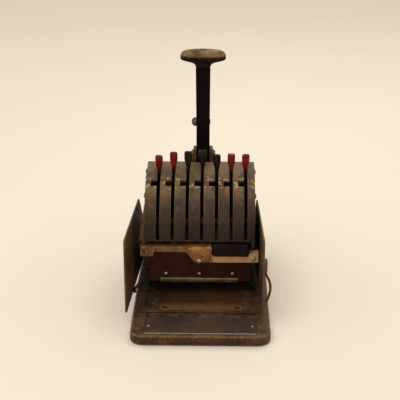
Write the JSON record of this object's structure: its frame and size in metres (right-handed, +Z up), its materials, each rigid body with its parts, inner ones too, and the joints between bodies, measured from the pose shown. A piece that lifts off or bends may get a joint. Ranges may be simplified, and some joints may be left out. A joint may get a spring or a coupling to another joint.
{
  "type": "lever-set cheque writer",
  "caption": "Old hand cheque writer with setting levers in a slotted curved face, a push-down T handle, a cheque throat and two hinged side guards.",
  "frame": {"origin": "middle of the underside of the felt that the base stands on", "axes": "+X to the right as its user sees it, +Y to the back, +Z up"},
  "size_m": [0.1612, 0.236, 0.277],
  "materials": {
    "black_enamel": "worn gloss",
    "brown_enamel": "worn",
    "worn_bronze": "worn",
    "dark_plate": "darkened",
    "polished_steel": "polished",
    "dull_steel": "dull",
    "gear_brass": "satin",
    "red_knob": "gloss",
    "black_knob": "gloss",
    "felt": "felt"
  },
  "bodies": {
    "frame": {"base_casting": "black_enamel", "base_felt": "felt", "nameplate": "dark_plate", "nameplate_pins": "polished_steel", "table_plate": "dark_plate", "table_screws": "dull_steel", "left_frame": "black_enamel", "right_frame": "black_enamel", "frame_bolts": "dull_steel", "side_screws": "dull_steel", "front_cover": "black_enamel", "rear_cover": "black_enamel", "rear_screws": "dull_steel", "front_bridge": "worn_bronze", "bridge_screws": "dull_steel", "bridge_cap": "black_enamel", "apron": "black_enamel", "apron_screws": "polished_steel", "guide_lip": "polished_steel", "type_shaft": "dull_steel", "shaft_screws": "dull_steel", "lever_spacers": "dull_steel", "detent_rail": "dull_steel", "detent_comb": "dull_steel", "top_crossbar": "dull_steel", "handle_guide": "brown_enamel", "guide_screws": "dull_steel", "left_hinge_pin": "dull_steel", "right_hinge_pin": "dull_steel", "guard_stay": "worn_bronze", "return_spring": "dull_steel"},
    "lever_1": {"type_lever_1": "dull_steel", "lever_knob_1": "red_knob"},
    "lever_2": {"type_lever_2": "dull_steel", "lever_knob_2": "red_knob"},
    "lever_3": {"type_lever_3": "dull_steel", "lever_knob_3": "black_knob"},
    "lever_4": {"type_lever_4": "dull_steel", "lever_knob_4": "black_knob"},
    "lever_5": {"type_lever_5": "dull_steel", "lever_knob_5": "black_knob"},
    "lever_6": {"type_lever_6": "dull_steel", "lever_knob_6": "red_knob"},
    "lever_7": {"type_lever_7": "dull_steel", "lever_knob_7": "red_knob"},
    "handle": {"handle_stem": "black_enamel", "handle_grip": "brown_enamel", "grip_screw": "dull_steel", "stop_bolt": "dull_steel"},
    "press_train": {"press_shaft": "dull_steel", "drive_pinion": "gear_brass", "lift_pinions": "gear_brass"},
    "platen_slide": {"platen_carriage": "dull_steel", "platen": "polished_steel"},
    "ink_roller": {"ink_spindle": "dull_steel", "ink_sleeve": "felt"},
    "left_door": {"left_guard": "brown_enamel"},
    "right_door": {"right_guard": "brown_enamel", "wire_pull": "worn_bronze"}
  },
  "joints": [
    {"name": "lever_1_turn", "type": "hinge", "parent": "frame", "child": "lever_1", "pos_m": [-0.0495, 0.05, 0.0715], "axis": [1, 0, 0], "range_deg": [0, 60]},
    {"name": "lever_2_turn", "type": "hinge", "parent": "frame", "child": "lever_2", "pos_m": [-0.033, 0.05, 0.0715], "axis": [1, 0, 0], "range_deg": [0, 60]},
    {"name": "lever_3_turn", "type": "hinge", "parent": "frame", "child": "lever_3", "pos_m": [-0.0165, 0.05, 0.0715], "axis": [1, 0, 0], "range_deg": [0, 60]},
    {"name": "lever_4_turn", "type": "hinge", "parent": "frame", "child": "lever_4", "pos_m": [0, 0.05, 0.0715], "axis": [1, 0, 0], "range_deg": [0, 60]},
    {"name": "lever_5_turn", "type": "hinge", "parent": "frame", "child": "lever_5", "pos_m": [0.0165, 0.05, 0.0715], "axis": [1, 0, 0], "range_deg": [0, 60]},
    {"name": "lever_6_turn", "type": "hinge", "parent": "frame", "child": "lever_6", "pos_m": [0.033, 0.05, 0.0715], "axis": [1, 0, 0], "range_deg": [0, 60]},
    {"name": "lever_7_turn", "type": "hinge", "parent": "frame", "child": "lever_7", "pos_m": [0.0495, 0.05, 0.0715], "axis": [1, 0, 0], "range_deg": [0, 60]},
    {"name": "handle_slide", "type": "slide", "parent": "frame", "child": "handle", "axis": [0, 0, -1], "range_m": [0, 0.022], "stiffness_N_per_m": 350, "springref_m": -0.03},
    {"name": "press_shaft_turn", "type": "hinge", "parent": "frame", "child": "press_train", "pos_m": [0, 0.0885, 0.105], "axis": [1, 0, 0], "range_deg": [0, 105.1]},
    {"name": "platen_lift", "type": "slide", "parent": "frame", "child": "platen_slide", "axis": [0, 0, 1], "range_m": [0, 0.011]},
    {"name": "ink_roller_spin", "type": "hinge", "parent": "frame", "child": "ink_roller", "pos_m": [0, 0.01005, 0.03155], "axis": [1, 0, 0], "continuous": true},
    {"name": "left_guard_swing", "type": "hinge", "parent": "frame", "child": "left_door", "pos_m": [-0.0706, 0.11, 0.03], "axis": [0, 0, -1], "range_deg": [0, 75]},
    {"name": "right_guard_swing", "type": "hinge", "parent": "frame", "child": "right_door", "pos_m": [0.0604, 0.11, 0.03], "axis": [0, 0, 1], "range_deg": [0, 75]}
  ],
  "couplings": [
    {"joint": "press_shaft_turn", "follows": "handle_slide", "rad_per_m": 83.333},
    {"joint": "platen_lift", "follows": "handle_slide", "ratio": 0.5}
  ]
}
